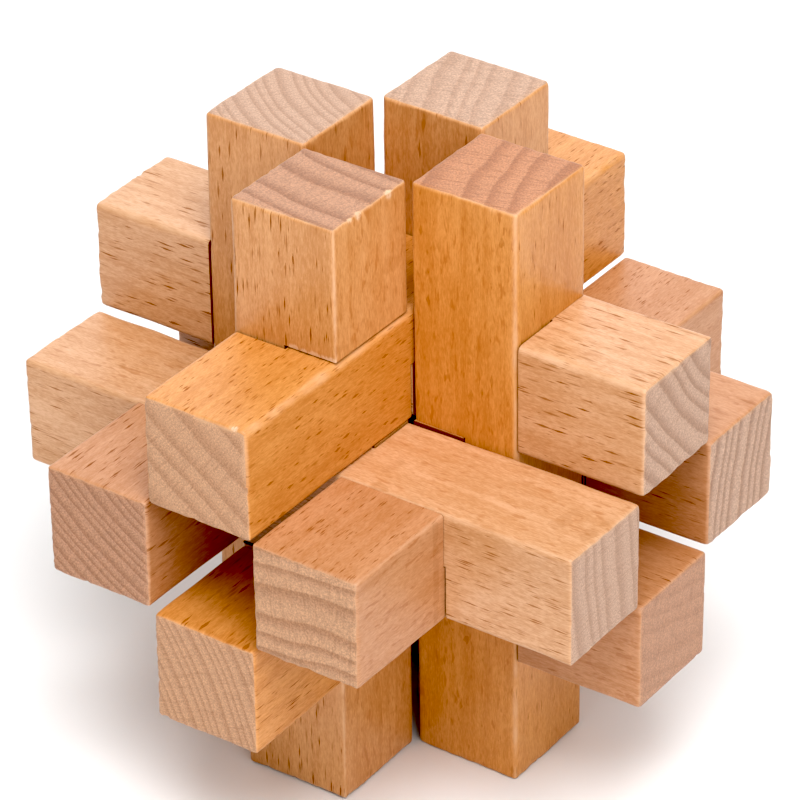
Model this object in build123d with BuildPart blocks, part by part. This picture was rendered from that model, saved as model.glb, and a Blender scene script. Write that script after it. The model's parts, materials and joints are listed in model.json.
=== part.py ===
from build123d import *
import os

# A twelve-piece notched wooden burr. Twelve identical square sticks, four along each axis,
# stand in a diamond round an empty centre and cross each other in half-lap notches.
# Millimetres, +Z up. X runs left to right, Y front to back. The origin is the middle of
# the square that the burr stands on.

# ---- driving dimensions ----
STICK = 14.7            # side of a stick's square section
LENGTH = 80.0           # length of a stick
PITCH = 15.0            # distance of each stick's centre line from the middle of the burr
EDGE_RADIUS = 0.5       # sanded edges and ends
FLOOR_PLAY = 0.05       # how far each notch is cut past the middle of the stick

# ---- values that follow from them ----
NOTCH_WIDTH = PITCH                  # notches meet, so each neighbour has STICK to PITCH play
NOTCH_SPACING = 2 * PITCH            # between the two outer notches of a stick
NOTCH_CUT = 2 * STICK                # cutter size, clear of the stick on the open sides
MIDDLE = Vector(0, 0, LENGTH / 2)    # centre of the burr, half a stick above the table

LEFT, RIGHT = Vector(-1, 0, 0), Vector(1, 0, 0)
FRONT, BACK = Vector(0, -1, 0), Vector(0, 1, 0)
DOWN, UP = Vector(0, 0, -1), Vector(0, 0, 1)

# Each stick: the side of the centre it stands on, the side its two outer notches open to,
# and the side its middle notch opens to. It lies along the axis square to both notch sides.
STICKS = {
    "upright_front": (FRONT, RIGHT, FRONT),
    "upright_back": (BACK, RIGHT, BACK),
    "upright_left": (LEFT, BACK, RIGHT),
    "upright_right": (RIGHT, BACK, LEFT),
    "crosswise_front": (FRONT, DOWN, BACK),
    "crosswise_back": (BACK, DOWN, FRONT),
    "crosswise_top": (UP, FRONT, UP),
    "crosswise_bottom": (DOWN, FRONT, UP),
    "lengthwise_left": (LEFT, UP, LEFT),
    "lengthwise_right": (RIGHT, UP, RIGHT),
    "lengthwise_top": (UP, LEFT, DOWN),
    "lengthwise_bottom": (DOWN, LEFT, DOWN),
}

os.makedirs("parts", exist_ok=True)

for name, (place, outer_side, middle_side) in STICKS.items():
    along = outer_side.cross(middle_side)
    centre = MIDDLE + place * PITCH
    end_plane = Plane(origin=centre - along * LENGTH / 2, x_dir=outer_side, z_dir=along)
    outer_floor = Plane(origin=centre - outer_side * FLOOR_PLAY, x_dir=along, z_dir=outer_side)
    middle_floor = Plane(origin=centre - middle_side * FLOOR_PLAY, x_dir=along, z_dir=middle_side)

    with BuildPart() as stick:
        # the square bar, with all its edges sanded round
        with BuildSketch(end_plane):
            Rectangle(STICK, STICK)
        extrude(amount=LENGTH)
        fillet(stick.edges(), radius=EDGE_RADIUS)

        # two outer notches, where the stick crosses the two sticks of its own flat frame
        with BuildSketch(outer_floor):
            with GridLocations(NOTCH_SPACING, 0, 2, 1):
                Rectangle(NOTCH_WIDTH, NOTCH_CUT)
        extrude(amount=STICK, mode=Mode.SUBTRACT)

        # one middle notch in the next side, where a stick of another frame crosses
        with BuildSketch(middle_floor):
            Rectangle(NOTCH_WIDTH, NOTCH_CUT)
        extrude(amount=STICK, mode=Mode.SUBTRACT)

    stick.part.label = name
    export_step(stick.part, f"parts/{name}.step")
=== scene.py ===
import json
import math

import bpy
import numpy as np
from mathutils import Euler, Matrix, Vector


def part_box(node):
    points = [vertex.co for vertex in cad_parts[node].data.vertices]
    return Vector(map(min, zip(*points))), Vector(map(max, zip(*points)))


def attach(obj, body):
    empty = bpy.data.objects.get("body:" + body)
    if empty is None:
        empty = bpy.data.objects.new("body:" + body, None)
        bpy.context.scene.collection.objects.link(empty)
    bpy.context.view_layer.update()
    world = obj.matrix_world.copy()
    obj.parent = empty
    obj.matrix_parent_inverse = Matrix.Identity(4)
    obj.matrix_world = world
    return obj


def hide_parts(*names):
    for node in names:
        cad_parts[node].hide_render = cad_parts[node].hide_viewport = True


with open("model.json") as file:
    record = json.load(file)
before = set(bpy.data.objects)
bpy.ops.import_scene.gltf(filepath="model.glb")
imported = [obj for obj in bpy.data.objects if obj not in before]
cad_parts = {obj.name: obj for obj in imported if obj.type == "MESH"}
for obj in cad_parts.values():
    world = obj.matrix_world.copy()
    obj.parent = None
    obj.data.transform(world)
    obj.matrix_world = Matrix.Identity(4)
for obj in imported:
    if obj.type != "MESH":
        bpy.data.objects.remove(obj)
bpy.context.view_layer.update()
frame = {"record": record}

MM = 0.001
LEFT, RIGHT = Vector((-1, 0, 0)), Vector((1, 0, 0))
FRONT, BACK = Vector((0, -1, 0)), Vector((0, 1, 0))
DOWN, UP = Vector((0, 0, -1)), Vector((0, 0, 1))

# ---- sizes, read from the frame ----
low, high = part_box("upright_front")
STICK = high.x - low.x                       # side of the square section
LENGTH = high.z - low.z
MIDDLE = Vector((0, 0, LENGTH / 2))          # centre of the burr
PITCH = -(low.y + high.y) / 2                # centre line to the middle of the burr
HALF, END = STICK / 2, LENGTH / 2
NOTCH_NEAR, NOTCH_FAR = PITCH / 2, 1.5 * PITCH
FLOOR_PLAY = 0.05 * MM                       # notches are cut this far past the middle

# ---- the colours of beech: four kinds of side, four of end grain ----
PALE = (0.6, 0.33, 0.18)
WARM = (0.6, 0.29, 0.12)
HONEY = (0.6, 0.26, 0.08)
DULL = (0.5, 0.24, 0.12)
GREY_END = (0.46, 0.28, 0.19)
TAN_END = (0.5, 0.27, 0.15)
BROWN_END = (0.42, 0.21, 0.12)
AMBER_END = (0.45, 0.19, 0.09)

# ---- the twelve sticks ----
# outer, middle: the sides that the outer notches and the middle notch open to, as in the CAD.
# pith: the way to the heart of the tree. far: how far off it is, in mm. ring: width of a ring, in mm.
# bands: strength of the rings on the ends. tone, end: albedo of the sides and of the end grain.
# dashes: share of the rays that show, cut across, with dash_gap mm from one to the next along the
# grain, and dash_depth, how dark they are. spokes: strength of the rays on the ends.
# tilt: degrees about X, Y and Z, and slip: mm, taken up from the play in the notches.
# wear_and_highlight_strength: how pale the rounded edges are painted, part wear and part painted
# highlight. rough: roughness of the sanded sides.
# edges: radius in mm of a long edge, by its side in local X and Y (0 low, 1 high). chips: places of
# torn bits as shares of the half sizes, the axis that the torn edge runs along, and the size in mm.
FOOT = -NOTCH_FAR / END                      # the upper shoulder of an upright
STICKS = {
    "upright_front": dict(
        outer=RIGHT, middle=FRONT, pith=(0.15, 1, 0), far=70, ring=3.4, bands=1.0,
        dashes=0.24, tone=WARM, end=BROWN_END,
        tilt=(-0.2, -0.15, 0.2), slip=(-0.05, 0, 0.05), dash_depth=1.0, wear_and_highlight_strength=0.6,
        chips=[((1, 0.3, -1), 1, 0.8), ((1, -0.52, -1), 1, 0.8), ((1, 0.55, -1), 1, 0.5),
               *[((x, 1, FOOT), 0, 0.55) for x in (0.14, 0.24, 0.4, 0.52, 0.6, 0.74, 0.86, 0.95)]]),
    "upright_back": dict(
        outer=RIGHT, middle=BACK, pith=(1, 0.4, 0), far=80, ring=2.2, bands=0.45,
        dashes=0.14, tone=WARM, end=GREY_END,
        tilt=(0, 0.15, -0.1), slip=(0, 0.05, 0)),
    "upright_left": dict(
        outer=BACK, middle=RIGHT, pith=(0.55, 0.83, 0), far=32, ring=1.5, bands=0.65,
        dashes=0.18, tone=WARM, end=GREY_END,
        tilt=(-0.1, 0.1, -0.1), slip=(-0.08, -0.02, 0.05)),
    "upright_right": dict(
        outer=BACK, middle=LEFT, pith=(1, 0.25, 0), far=90, ring=3.6, bands=0.85,
        dashes=0.08, tone=HONEY, end=AMBER_END,
        tilt=(0.1, -0.1, -0.1), slip=(0, -0.08, -0.1), dash_gap=2.4,
        edges={(0, 0): 0.7}, spokes=0.9, wear_and_highlight_strength=0.55),
    "crosswise_front": dict(
        outer=DOWN, middle=BACK, pith=(0, 1, 0.12), far=90, ring=2.3, bands=0.6,
        dashes=0.36, tone=PALE, end=GREY_END,
        tilt=(0.1, -0.1, -0.1), slip=(0, -0.03, 0.03), dash_depth=0.8),
    "crosswise_back": dict(
        outer=DOWN, middle=FRONT, pith=(0, 1, -0.2), far=60, ring=1.9, bands=1.0,
        dashes=0.2, tone=DULL, end=GREY_END,
        tilt=(0.1, -0.1, -0.1), slip=(0, -0.03, -0.02), spokes=0.2),
    "crosswise_top": dict(
        outer=FRONT, middle=UP, pith=(0, 0.75, 0.65), far=45, ring=2.2, bands=0.9,
        dashes=0.3, tone=PALE, end=GREY_END,
        tilt=(0.1, -0.1, 0), slip=(0, 0.02, 0), edges={(1, 1): 0.85}, wear_and_highlight_strength=0.4),
    "crosswise_bottom": dict(
        outer=FRONT, middle=UP, pith=(0, 0.3, 1), far=70, ring=2.6, bands=0.3,
        dashes=0.14, tone=DULL, end=BROWN_END,
        tilt=(0.1, -0.15, 0.1), slip=(0.03, 0, 0)),
    "lengthwise_left": dict(
        outer=UP, middle=LEFT, pith=(0.6, 0, 0.8), far=55, ring=1.4, bands=0.85,
        dashes=0.28, tone=DULL, end=BROWN_END,
        tilt=(-0.15, 0.1, 0.1), slip=(-0.06, 0, -0.04), spokes=0.3),
    "lengthwise_right": dict(
        outer=UP, middle=RIGHT, pith=(0.08, 0, -1), far=90, ring=2.9, bands=0.9,
        dashes=0.26, tone=DULL, end=TAN_END,
        tilt=(-0.1, 0.1, 0.1), slip=(-0.08, -0.03, 0.04), dash_gap=1.8, dash_depth=0.75,
        edges={(1, 0): 0.25}),
    "lengthwise_top": dict(
        outer=LEFT, middle=DOWN, pith=(0.6, 0, 0.8), far=80, ring=3.2, bands=0.65,
        dashes=0.32, tone=HONEY, end=TAN_END,
        tilt=(0, -0.1, 0), slip=(0.1, 0, -0.07), dash_gap=1.9, dash_depth=0.85, wear_and_highlight_strength=0.45,
        edges={(0, 0): 1.1, (0, 1): 0.35}, chips=[((-0.75, -1, 1), 0, 0.6)]),
    "lengthwise_bottom": dict(
        outer=LEFT, middle=DOWN, pith=(-0.9, 0, -0.4), far=60, ring=1.3, bands=0.7,
        dashes=0.26, tone=HONEY, end=TAN_END,
        tilt=(0.1, 0.1, 0.1), slip=(0.05, 0, -0.06)),
}
USUAL = dict(edges={}, chips=[], wear_and_highlight_strength=0.32, rough=0.38, spokes=0.5, dash_gap=3.2, dash_depth=0.95)

# ---- the mesh of one stick ----
ACROSS_STEP = 0.32 * MM      # mean spacing of the mesh across a stick
ALONG_STEP = 0.45 * MM       # and along it
BUNCHING = 0.9               # how strongly grid lines crowd towards edges, 0 to 1
EDGE_RADII = (0.42 * MM, 0.72 * MM)   # range of the long edges' radii
EDGE_WAVER = 0.18            # how unevenly a long edge is sanded, as a share of its radius
END_RADIUS = 0.42 * MM       # edges round the two ends
END_WAVER = 0.3              # and how unevenly they are sanded
RIM_RADIUS = 0.09 * MM       # rims of the notches
SHRINK = np.array([0.996, 0.996, 0.997])   # leaves a stick some room to tilt in the burr
FULLY_PALE_ROUNDING = 0.16 * MM        # an edge that is rounded off by this much is fully pale, as wear and painted highlight
SMALLEST = 1e-7              # in metres, less than any real gap
CENTRE_RING = 20             # number of the ring at the middle of a stick
FRAY_REACH = 1.3 * MM        # how far from the ends the long edges fray
FRAY_DEPTH = 0.2 * MM
RING_DEPTH = 0.04 * MM       # how far soft wood lies below hard wood on the ends
DENTS = 14                   # worn dents on each stick
DENT_SIZES = (0.2, 0.6)      # in mm
DENT_DEPTHS = (0.2, 0.4)     # as shares of the size, for dents and chips
CREASE = math.radians(50)    # sharper edges than this aren't smoothed


def grid_lines(stops, step):
    """Coordinates from the first stop to the last, crowded beside every stop."""
    lines = []
    for near, far in zip(stops, stops[1:]):
        count = round((far - near) / step)
        share = np.arange(count) / count
        share = share - BUNCHING * np.sin(2 * math.pi * share) / (2 * math.pi)
        lines.append(near + (far - near) * share)
    return np.concatenate(lines + [[stops[-1]]])


def notched_grid():
    """Points and quads of the skin of one sharp-edged stick, and each quad's axis and side.

    Local axes: X is the side that the outer notches open to, Y the middle notch's, Z the length.
    """
    across = grid_lines((-HALF, -FLOOR_PLAY, HALF), ACROSS_STEP)
    along = grid_lines((-END, -NOTCH_FAR, -NOTCH_NEAR, NOTCH_NEAR, NOTCH_FAR, END), ALONG_STEP)
    lines = (across, across, along)
    x, y, z = np.meshgrid(*[(a[1:] + a[:-1]) / 2 for a in lines], indexing="ij")
    outer_notch = (abs(z) > NOTCH_NEAR) & (abs(z) < NOTCH_FAR) & (x > -FLOOR_PLAY)
    middle_notch = (abs(z) < NOTCH_NEAR) & (y > -FLOOR_PLAY)
    solid = np.pad(~(outer_notch | middle_notch), 1).astype(int)

    quads, facing, side = [], [], []
    for axis in range(3):
        crop = [slice(None) if a == axis else slice(1, -1) for a in range(3)]
        change = np.diff(solid, axis=axis)[tuple(crop)]
        second, third = np.eye(3, dtype=int)[[(axis + 1) % 3, (axis + 2) % 3]]
        square = np.array([0 * second, second, second + third, third])
        for step, corners in ((-1, square), (1, square[::-1])):
            cells = np.argwhere(change == step)
            quads.append(cells[:, None, :] + corners)
            facing.append(np.full(len(cells), axis))
            side.append(np.full(len(cells), -step))
    quads = np.concatenate(quads)
    shape = [len(a) for a in lines]
    keys = np.ravel_multi_index(quads.reshape(-1, 3).T, shape)
    used, index = np.unique(keys, return_inverse=True)
    at = np.unravel_index(used, shape)
    points = np.stack([line[i] for line, i in zip(lines, at)], 1)
    return points, index.reshape(-1, 4), np.concatenate(facing), np.concatenate(side)


def waves(points, size, rng, count=7):
    """Smooth random heights of about -1 to 1 at the points, with humps about `size` across."""
    ways = rng.normal(size=(count, 3)) * math.pi / np.broadcast_to(size, 3)
    return np.sin(points @ ways.T + rng.uniform(0, 2 * math.pi, count)).sum(1) / math.sqrt(count)


def round_edges(points, look, rng):
    """Pulls the points in to a bar with rounded edges, each long edge with its own radius."""
    radii = rng.uniform(*EDGE_RADII, size=(2, 2))
    for (x, y), radius in look["edges"].items():
        radii[x, y] = radius * MM
    side = radii[(points[:, 0] > 0).astype(int), (points[:, 1] > 0).astype(int)]
    side = side * (1 + EDGE_WAVER * waves(points, (40 * MM, 40 * MM, 9 * MM), rng))
    tip = END_RADIUS * (1 + END_WAVER * waves(points, 5 * MM, rng))
    radius = np.stack([side, side, tip], 1)
    room = np.array([HALF, HALF, END]) - radius
    core = np.clip(points, -room, room)
    reach = np.linalg.norm((points - core) / radius, axis=1)
    return core + (points - core) / np.maximum(reach, 1)[:, None]


def break_rims(points, sharp, quads, facing, side):
    """Rounds the rims of the notches a little. On a rim, both the depth and the gap are 0."""
    cut = in_notch(sharp[quads].mean(1), facing)
    inwards = np.zeros_like(sharp)
    for axis in range(3):
        mine = cut & (facing == axis)
        np.add.at(inwards[:, axis], quads[mine].ravel(), np.repeat(-side[mine], 4))
    inwards = np.sign(inwards)

    gap = np.full(len(sharp), LENGTH)
    for low, high in (((-FLOOR_PLAY, -LENGTH, NOTCH_NEAR), (LENGTH, LENGTH, NOTCH_FAR)),
                      ((-FLOOR_PLAY, -LENGTH, -NOTCH_FAR), (LENGTH, LENGTH, -NOTCH_NEAR)),
                      ((-LENGTH, -FLOOR_PLAY, -NOTCH_NEAR), (LENGTH, LENGTH, NOTCH_NEAR))):
        away = sharp - np.clip(sharp, low, high)
        size = np.linalg.norm(away, axis=1)
        beside = (size > SMALLEST) & (size < RIM_RADIUS) & (inwards == 0).all(1)
        inwards[beside] = (away / np.maximum(size, SMALLEST)[:, None])[beside]
        gap = np.minimum(gap, size)

    axis = abs(sharp[:, :2]).argmax(1)
    depth = HALF - abs(sharp[:, :2]).max(1)
    outwards = np.eye(3)[axis] * np.sign(sharp[np.arange(len(sharp)), axis])[:, None]
    short = RIM_RADIUS - np.clip(np.stack([depth, gap]), 0, RIM_RADIUS)
    moved = short * (1 - RIM_RADIUS / np.maximum(np.hypot(*short), RIM_RADIUS))
    return points - outwards * moved[0][:, None] + inwards * moved[1][:, None]


def in_notch(middles, facing):
    """Which faces are the floor or a wall of a notch."""
    at = abs(middles)
    floor = (facing != 2) & (at[:, :2].min(1) < 2 * FLOOR_PLAY)
    sunk = np.take_along_axis(at, np.minimum(facing, 1)[:, None], axis=1)[:, 0] < HALF / 2
    wall = (facing == 2) & (at[:, 2] < END - ALONG_STEP)
    return wall | (floor & sunk)


def ring_count(points, look, pith, rng):
    """The number of the ring that each point lies in, and the way to it from the pith in mm."""
    offset = points[:, :2] / MM - np.array(pith[:2]) * look["far"]
    radius = np.hypot(*offset.T)
    wobble = 0.07 * waves(points, (7 * MM, 7 * MM, 60 * MM), rng)
    rings = (radius - look["far"]) / look["ring"] + CENTRE_RING + wobble
    return rings + 0.25 * np.sin(1.6 * rings + rng.uniform(0, 6)), offset


def late_wood(rings):
    """0 in a ring's pale early wood, rising to 1 at its dark edge, much as in the material."""
    part = rings % 1
    return np.clip((part - 0.4) / 0.5, 0, 1) ** 2 * np.clip((1 - part) / 0.1, 0, 1)


def relief(points, rings, look, rng):
    """Sanding cuts the soft early wood of the ends deeper, and frays the ends' edges with it."""
    low_wood = (1 - late_wood(rings)) * look["bands"]
    near_end = np.clip(1 - (END - abs(points[:, 2])) / FRAY_REACH, 0, 1) ** 2
    fray = near_end * (0.5 + 0.5 * waves(points, FRAY_REACH, rng)) * low_wood * FRAY_DEPTH
    for axis in (0, 1):
        outside = np.clip((abs(points[:, axis]) - (HALF - 0.5 * MM)) / (0.4 * MM), 0, 1)
        points[:, axis] -= np.sign(points[:, axis]) * outside * fray
    at_tip = abs(points[:, 2]) > END - 0.1 * MM
    points[:, 2] -= np.sign(points[:, 2]) * at_tip * low_wood * RING_DEPTH
    return points


def nick(points, marks, at, out, size, depth):
    """Dents the edge at a point and marks the wood there."""
    gap = (points - at) / (np.array([1, 1, 1.6]) * size)
    dent = np.clip(1 - (gap ** 2).sum(1), 0, 1) ** 2
    np.maximum(marks, dent, out=marks)
    return points - dent[:, None] * depth * np.array(out)


def nicks(points, wear_and_highlight, torn, look, rng):
    """Small dents from use scattered over the edges, and the torn chips that the look names."""
    spots = []
    for _ in range(DENTS):
        out = rng.choice([-1, 1], 3) * 1.0
        slide = rng.choice(3, p=(0.42, 0.42, 0.16))
        out[slide] = rng.uniform(-1, 1)
        spots.append((out, slide, rng.uniform(*DENT_SIZES), wear_and_highlight))
    for place, slide, size in look["chips"]:
        spots.append((np.array(place), slide, size, torn))
    for place, slide, size, marks in spots:
        out = np.delete(np.eye(3), slide, axis=0).sum(0) * np.sign(place) / math.sqrt(2)
        at = place * np.array([HALF, HALF, END])
        size = size * MM
        points = nick(points, marks, at, out, size, size * rng.uniform(*DENT_DEPTHS))
    return points


def placement(name, look):
    """Local-to-world matrix of a stick: its axes and its centre, from the frame."""
    low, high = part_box(name)
    along = look["outer"].cross(look["middle"])
    turn = Matrix((look["outer"], look["middle"], along)).transposed().to_4x4()
    return Matrix.Translation((low + high) / 2) @ turn


def settled(place, look):
    """The place of a stick once it has tilted and slipped a little in the play of the notches."""
    tilt = Euler([math.radians(angle) for angle in look["tilt"]]).to_matrix()
    turn = (tilt @ place.to_3x3()).to_4x4()
    return Matrix.Translation(place.translation + Vector(look["slip"]) * MM) @ turn


def write_values(mesh, name, domain, values):
    """Writes one number for each point or face, which the material reads by its name."""
    layer = mesh.attributes.new(name, "FLOAT", domain)
    layer.data.foreach_set("value", values.astype(float))


def stick(name, look, seed):
    """One wooden stick, with its grain written on the mesh for the material to read."""
    rng = np.random.default_rng(seed)
    place = placement(name, look)
    pith = (place.to_3x3().inverted() @ Vector(look["pith"])).normalized()
    points, quads, facing, side = notched_grid()
    rings, offset = ring_count(points, look, pith, rng)
    rounded = round_edges(points, look, rng)
    moved = np.linalg.norm(rounded - points, axis=1)
    # How pale the rounded edges are painted: wear, and a painted highlight where the rounding catches
    # light
    wear_and_highlight = np.clip(moved / FULLY_PALE_ROUNDING, 0, 1) * (0.7 + 0.3 * waves(points, 3 * MM, rng))
    torn = np.zeros(len(points))
    rounded = break_rims(rounded, points, quads, facing, side)
    rounded = relief(rounded, rings, look, rng)
    rounded = nicks(rounded, wear_and_highlight, torn, look, rng)

    radial = np.hypot(*offset.T)
    tangent = np.arctan2(offset[:, 1], offset[:, 0]) * look["far"]
    shift = rng.uniform(0, 1000, 3)
    wood = np.stack([radial, tangent, points[:, 2] / MM], 1) + shift

    outward = offset / radial[:, None]
    across = abs(outward[quads].mean(1))
    flat_sawn = np.where(facing == 2, 0, np.take_along_axis(
        across, np.minimum(facing, 1)[:, None], axis=1)[:, 0])

    mesh = bpy.data.meshes.new(name)
    rest = settled(place, look)
    world = rounded * SHRINK @ np.array(rest.to_3x3()).T + np.array(rest.translation)
    mesh.from_pydata(world.tolist(), [], quads.tolist())
    mesh.attributes.new("wood", "FLOAT_VECTOR", "POINT").data.foreach_set("vector", wood.ravel())
    write_values(mesh, "rings", "POINT", rings)
    write_values(mesh, "wear_and_highlight", "POINT", np.clip(wear_and_highlight, 0, 1))
    write_values(mesh, "torn", "POINT", torn)
    write_values(mesh, "end_grain", "FACE", facing == 2)
    write_values(mesh, "flat_sawn", "FACE", flat_sawn)
    # The notch faces, hidden between the sticks, are marked here to be painted darker: painted shade
    write_values(mesh, "notch_shade", "FACE", in_notch(points[quads].mean(1), facing))
    mesh.shade_smooth()
    mesh.set_sharp_from_angle(angle=CREASE)
    mesh.materials.append(beech(name, look))
    piece = bpy.data.objects.new(name + "_beech", mesh)
    bpy.context.scene.collection.objects.link(piece)
    return piece


# ---- the material ----
# What a stick's own colour is multiplied by, in red, green and blue
DARK_GRAIN, LIGHT_GRAIN = (0.86, 0.78, 0.66), (1.12, 1.2, 1.3)
FLECK, DASH = (0.74, 0.58, 0.42), (0.46, 0.27, 0.06)
EARLY_WOOD, LATE_WOOD = (1.08, 1.11, 1.13), (0.74, 0.66, 0.6)
DARK_SPOKE, LIGHT_SPOKE = (0.72, 0.64, 0.57), (1.25, 1.25, 1.25)
# Painted shade: the darker colour of the notch faces, which lie in the recesses between sticks
NOTCH_SHADE = (0.34, 0.22, 0.1)
# Colours that don't depend on the stick
# Pale colour of the rounded edges: part wear, part painted highlight
RUBBED_AND_HIGHLIGHT = (0.85, 0.62, 0.44)
TORN = (0.72, 0.47, 0.3)


class Shader:
    """Adds nodes to one new material. Each call returns the new node's output."""

    def __init__(self, name):
        self.material = bpy.data.materials.new(name)
        self.material.use_nodes = True
        self.tree = self.material.node_tree
        self.surface = self.tree.nodes["Principled BSDF"]

    def plug(self, socket, value):
        if isinstance(value, bpy.types.NodeSocket):
            self.tree.links.new(value, socket)
        else:
            socket.default_value = value

    def node(self, kind, output, inputs, **settings):
        made = self.tree.nodes.new("ShaderNode" + kind)
        for key, value in settings.items():
            setattr(made, key, value)
        for key, value in inputs.items():
            self.plug(made.inputs[key], value)
        return made.outputs[output]

    def attribute(self, name, output="Fac"):
        return self.node("Attribute", output, {}, attribute_name=name)

    def math(self, operation, first, second=0.0, third=0.0):
        return self.node("Math", 0, {0: first, 1: second, 2: third}, operation=operation)

    def stretch(self, vector, x, y, z):
        return self.node("VectorMath", 0, {0: vector, 1: (x, y, z)}, operation="MULTIPLY")

    def noise(self, vector, scale, detail=2.0, roughness=0.5, distortion=0.0):
        inputs = {"Vector": vector, "Scale": scale, "Detail": detail, "Roughness": roughness,
                  "Distortion": distortion}
        return self.node("TexNoise", "Fac", inputs)

    def ramp(self, value, low, high, to_low=0.0, to_high=1.0):
        inputs = {"Value": value, "From Min": low, "From Max": high,
                  "To Min": to_low, "To Max": to_high}
        return self.node("MapRange", 0, inputs, interpolation_type="SMOOTHSTEP")

    def mix(self, share, first, second, blend="MIX"):
        inputs = {0: share, 6: first, 7: second}
        return self.node("Mix", 2, inputs, data_type="RGBA", blend_type=blend)


def opaque(colour):
    return (*colour, 1.0)


def tinted(colour, tint):
    return opaque([a * b for a, b in zip(colour, tint)])


def grain_lines(s, wood):
    """Light and dark along the grain, 0 dark and 1 light, and the finest fibres alone."""
    fibres = s.noise(s.stretch(wood, 1, 1, 0.2), 5.0, 2, 0.75)
    strands = s.noise(s.stretch(wood, 1, 1, 0.08), 1.0, 2, 0.5)
    clouds = s.noise(s.stretch(wood, 1, 1, 0.4), 0.22, 3)
    share = s.math("ADD", s.math("MULTIPLY", fibres, 1.6), s.math("MULTIPLY", strands, 0.8))
    share = s.math("ADD", share, s.math("MULTIPLY", clouds, 0.7))
    return s.math("SUBTRACT", share, 1.05), fibres


def ray_dashes(s, wood, look):
    """Broad rays cut across: short dark lenses along the grain of the flat-sawn sides."""
    drift = s.noise(s.stretch(wood, 0.5, 0.3, 0.1), 1.0)
    flat = s.tree.nodes.new("ShaderNodeSeparateXYZ")
    s.plug(flat.inputs[0], wood)
    across = s.math("MULTIPLY_ADD", flat.outputs["Y"], 4.0, s.math("MULTIPLY", drift, 1.5))
    along = s.math("MULTIPLY_ADD", flat.outputs["Z"], 1 / look["dash_gap"],
                   s.math("MULTIPLY", drift, 0.8))
    cells = s.tree.nodes.new("ShaderNodeTexVoronoi")
    cells.voronoi_dimensions = "2D"
    cells.distance = "MANHATTAN"
    s.plug(cells.inputs["Vector"], s.node("CombineXYZ", 0, {0: across, 1: along}))
    s.plug(cells.inputs["Scale"], 1.0)
    luck = s.tree.nodes.new("ShaderNodeSeparateColor")
    s.plug(luck.inputs["Color"], cells.outputs["Color"])
    shown = s.math("GREATER_THAN", luck.outputs[0], 1 - look["dashes"])
    size = s.math("MULTIPLY", s.ramp(luck.outputs[0], 1 - look["dashes"], 1.0, 0.16, 0.54), shown)
    dash = s.math("MULTIPLY", s.math("SUBTRACT", size, cells.outputs["Distance"]), 7.0)
    depth = s.ramp(luck.outputs[1], 0.0, 1.0, 0.4 * look["dash_depth"], look["dash_depth"])
    return s.math("MULTIPLY", s.node("Clamp", 0, {"Value": dash}), depth)


def ray_flecks(s, wood):
    """The same rays seen from the side: soft smears that lean across the grain."""
    smears = s.noise(s.stretch(wood, 1.3, 1.8, 0.32), 1.1, 2, 0.6, 0.3)
    return s.ramp(smears, 0.58, 0.68)


def late_rings(s, wood):
    """Growth rings as the ends show them: each darkens outwards and stops at a sharp line."""
    waver = s.noise(s.stretch(wood, 1, 1, 0.1), 0.8, 2, 0.5)
    waver = s.math("MULTIPLY", s.math("SUBTRACT", waver, 0.5), 0.12)
    part = s.math("FRACT", s.math("ADD", s.attribute("rings"), waver))
    return s.math("MULTIPLY", s.ramp(part, 0.3, 0.9), s.ramp(part, 1.0, 0.88))


def side_colour(s, wood, tone, share, late, dashes, flat_sawn):
    """The long sides: fine light and dark grain, then the rays as flecks and as dashes."""
    share = s.math("SUBTRACT", share, s.math("MULTIPLY", late, 0.12))
    side = s.mix(s.ramp(share, 0.0, 1.0), tinted(tone, DARK_GRAIN), tinted(tone, LIGHT_GRAIN))
    flecks = s.math("MULTIPLY", ray_flecks(s, wood), s.ramp(flat_sawn, 0.8, 0.2, 0.15, 0.7))
    side = s.mix(flecks, side, tinted(tone, FLECK))
    return s.mix(dashes, side, tinted(tone, DASH))


def end_colour(s, wood, look, late):
    """The ends: rings, rays that run out from the pith like spokes, and a fine grit."""
    end = look["end"]
    bands = s.math("MULTIPLY", late, look["bands"])
    tip = s.mix(bands, tinted(end, EARLY_WOOD), tinted(end, LATE_WOOD))
    spokes = s.noise(s.stretch(wood, 0.3, 3.2, 0.1), 1.0, 2, 0.7)
    tip = s.mix(s.ramp(spokes, 0.5, 0.75, 0.0, look["spokes"]), tip, tinted(end, DARK_SPOKE))
    tip = s.mix(s.ramp(spokes, 0.45, 0.28, 0.0, 0.3), tip, tinted(end, LIGHT_SPOKE))
    grit = s.ramp(s.noise(wood, 4.5, 2, 0.7), 0.3, 0.75, 0.74, 1.22)
    return s.mix(1.0, tip, s.node("CombineColor", 0, {0: grit, 1: grit, 2: grit}), "MULTIPLY")


def edges_notches_and_chips(s, colour, look, notch, fibres):
    """Pale edges, part wear and part painted highlight, painted shade on the notch faces, and torn
    chips, over the colour of the wood.
    """
    tone = look["tone"]
    pale = [0.5 * a + 0.5 * b for a, b in zip(tone, RUBBED_AND_HIGHLIGHT)]
    # pale rounded edges: wear and painted highlight
    colour = s.mix(s.math("MULTIPLY", s.attribute("wear_and_highlight"), look["wear_and_highlight_strength"]), colour, opaque(pale))
    # painted shade on the notch faces
    colour = s.mix(notch, colour, tinted(tone, NOTCH_SHADE))
    torn = s.math("MULTIPLY", s.attribute("torn"), s.ramp(fibres, 0.3, 0.6, 0.3, 1.3))
    return s.mix(s.ramp(torn, 0.05, 0.5), colour, opaque(TORN))


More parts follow.
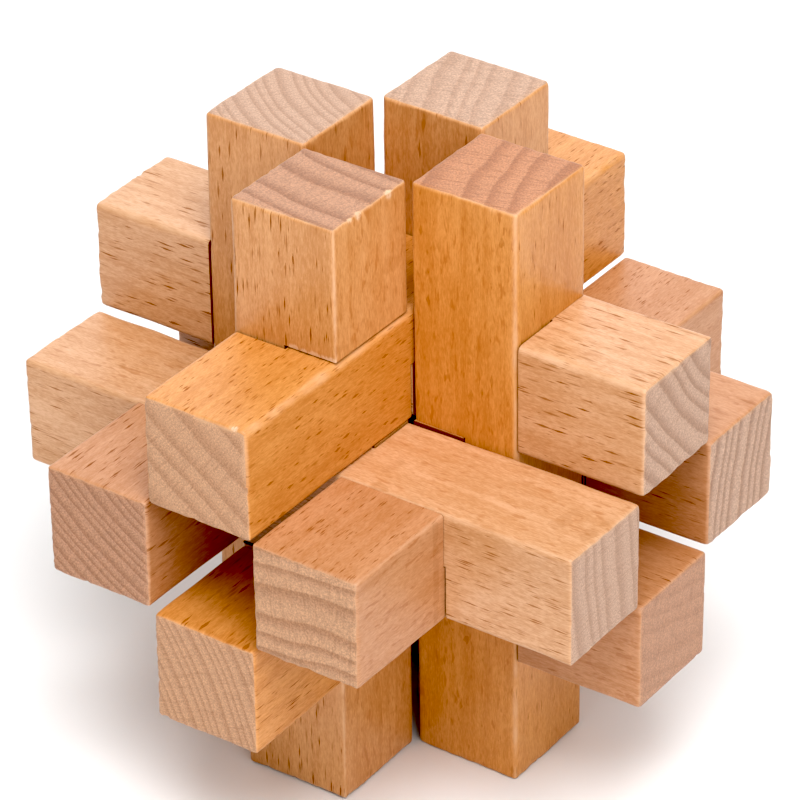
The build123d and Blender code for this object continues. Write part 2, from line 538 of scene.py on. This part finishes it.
def sanded(s, rough, end_grain, notch, dashes, fibres):
    """The gloss and the fine relief of sanded, unvarnished wood."""
    gloss = s.ramp(fibres, 0.3, 0.7, rough + 0.05, rough - 0.05)
    gloss = s.math("ADD", gloss, s.math("MULTIPLY", end_grain, 0.1))
    s.plug(s.surface.inputs["Roughness"], gloss)
    s.surface.inputs["IOR"].default_value = 1.5
    shine = s.math("SUBTRACT", 0.5, s.math("MULTIPLY", s.math("MAXIMUM", notch, dashes), 0.4))
    s.plug(s.surface.inputs["Specular IOR Level"], shine)
    height = s.math("SUBTRACT", s.math("MULTIPLY", fibres, 0.4), s.math("MULTIPLY", dashes, 0.3))
    bump = s.node("Bump", 0, {"Height": height, "Strength": 0.3, "Distance": 0.08 * MM})
    s.plug(s.surface.inputs["Normal"], bump)


def beech(name, look):
    """Sanded beech, worked out in the wood's own directions: from the pith, round it, along it."""
    s = Shader("beech_" + name)
    wood = s.attribute("wood", "Vector")
    end_grain = s.attribute("end_grain")
    flat_sawn = s.attribute("flat_sawn")
    # the notch faces, which get painted shade
    notch = s.attribute("notch_shade")
    late = late_rings(s, wood)
    share, fibres = grain_lines(s, wood)
    dashes = s.math("MULTIPLY", ray_dashes(s, wood, look), s.ramp(flat_sawn, 0.15, 0.7, 0.25, 1.0))
    side = side_colour(s, wood, look["tone"], share, late, dashes, flat_sawn)
    colour = s.mix(end_grain, side, end_colour(s, wood, look, late))
    s.plug(s.surface.inputs["Base Color"], edges_notches_and_chips(s, colour, look, notch, fibres))
    sanded(s, look["rough"], end_grain, notch, dashes, fibres)
    return s.material


# ---- the burr ----
bodies = {node: body for body, nodes in frame["record"]["behaviour"]["bodies"].items()
          for node in nodes}
for number, (name, look) in enumerate(STICKS.items()):
    look = dict(USUAL, **look)
    piece = stick(name, look, seed=100 + number)
    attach(piece, bodies[name])
    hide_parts(name)


# ---- floor, light and camera, in metres where nothing else is said ----
BLACK_POINT = 0.045
LAMP_DISTANCE = 0.9
CAMERA_LENS = 200.3                               # mm, on a sensor 36 mm wide
CAMERA_DISTANCE = 0.5428
CAMERA_BEARING = (35.31, 31.71)                   # azimuth and elevation in degrees
CAMERA_AIM = MIDDLE + Vector((-0.64, 1.54, 2.7)) * MM
CAMERA_ROLL = math.radians(-0.77)


def plain_floor(size=3.0):
    """A plain pale matt table."""
    mesh = bpy.data.meshes.new("floor")
    h = size / 2
    mesh.from_pydata([(-h, -h, 0), (h, -h, 0), (h, h, 0), (-h, h, 0)], [], [(0, 1, 2, 3)])
    s = Shader("floor")
    s.surface.inputs["Base Color"].default_value = (0.86, 0.86, 0.86, 1)
    s.surface.inputs["Roughness"].default_value = 0.9
    mesh.materials.append(s.material)
    floor = bpy.data.objects.new("floor", mesh)
    bpy.context.scene.collection.objects.link(floor)


def soft_box(name, azimuth, elevation, size, watts):
    """A square area light that faces the burr. Azimuth 0 stands in front, 90 on the right."""
    lamp = bpy.data.lights.new(name, "AREA")
    lamp.shape = "SQUARE"
    lamp.size = size
    lamp.energy = watts
    box = bpy.data.objects.new(name, lamp)
    back = bearing(azimuth, elevation)
    box.location = MIDDLE + back * LAMP_DISTANCE
    box.rotation_euler = back.to_track_quat("Z", "Y").to_euler()
    bpy.context.scene.collection.objects.link(box)


def bearing(azimuth, elevation):
    """Unit vector from the burr towards a viewer at these angles, in degrees."""
    a, e = math.radians(azimuth), math.radians(elevation)
    return Vector((math.sin(a) * math.cos(e), -math.cos(a) * math.cos(e), math.sin(e)))


def studio_sky(low, high):
    """A white ceiling over darker walls: brightness at the horizon and overhead."""
    world = bpy.data.worlds.new("studio")
    world.use_nodes = True
    tree = world.node_tree
    way = tree.nodes.new("ShaderNodeTexCoord").outputs["Generated"]
    height = tree.nodes.new("ShaderNodeSeparateXYZ")
    tree.links.new(way, height.inputs[0])
    fade = tree.nodes.new("ShaderNodeMapRange")
    tree.links.new(height.outputs["Z"], fade.inputs["Value"])
    fade.inputs["To Min"].default_value = low
    fade.inputs["To Max"].default_value = high
    tree.nodes["Background"].inputs["Color"].default_value = (1, 1, 1, 1)
    tree.links.new(fade.outputs[0], tree.nodes["Background"].inputs["Strength"])
    bpy.context.scene.world = world


def long_lens():
    """The camera, which looks down on a corner of the burr."""
    data = bpy.data.cameras.new("camera")
    data.lens = CAMERA_LENS
    data.sensor_width = 36.0
    data.clip_start = 0.01
    camera = bpy.data.objects.new("camera", data)
    back = bearing(*CAMERA_BEARING)
    camera.location = CAMERA_AIM + back * CAMERA_DISTANCE
    roll = Matrix.Rotation(CAMERA_ROLL, 3, "Z")
    camera.rotation_euler = (back.to_track_quat("Z", "Y").to_matrix() @ roll).to_euler()
    bpy.context.scene.collection.objects.link(camera)
    bpy.context.scene.camera = camera


def film():
    """Plain display colours, with the black point of a product photograph."""
    view = bpy.context.scene.view_settings
    view.view_transform = "Standard"
    view.use_curve_mapping = True
    view.curve_mapping.black_level = (BLACK_POINT,) * 3


plain_floor()
studio_sky(0.06, 0.16)
soft_box("key", azimuth=40, elevation=62, size=0.45, watts=7.8)
soft_box("low", azimuth=50, elevation=30, size=0.4, watts=2.1)
soft_box("front", azimuth=-15, elevation=38, size=0.9, watts=1.6)
soft_box("right", azimuth=95, elevation=38, size=0.9, watts=2.35)
soft_box("behind", azimuth=-145, elevation=32, size=1.4, watts=9.6)
long_lens()
film()
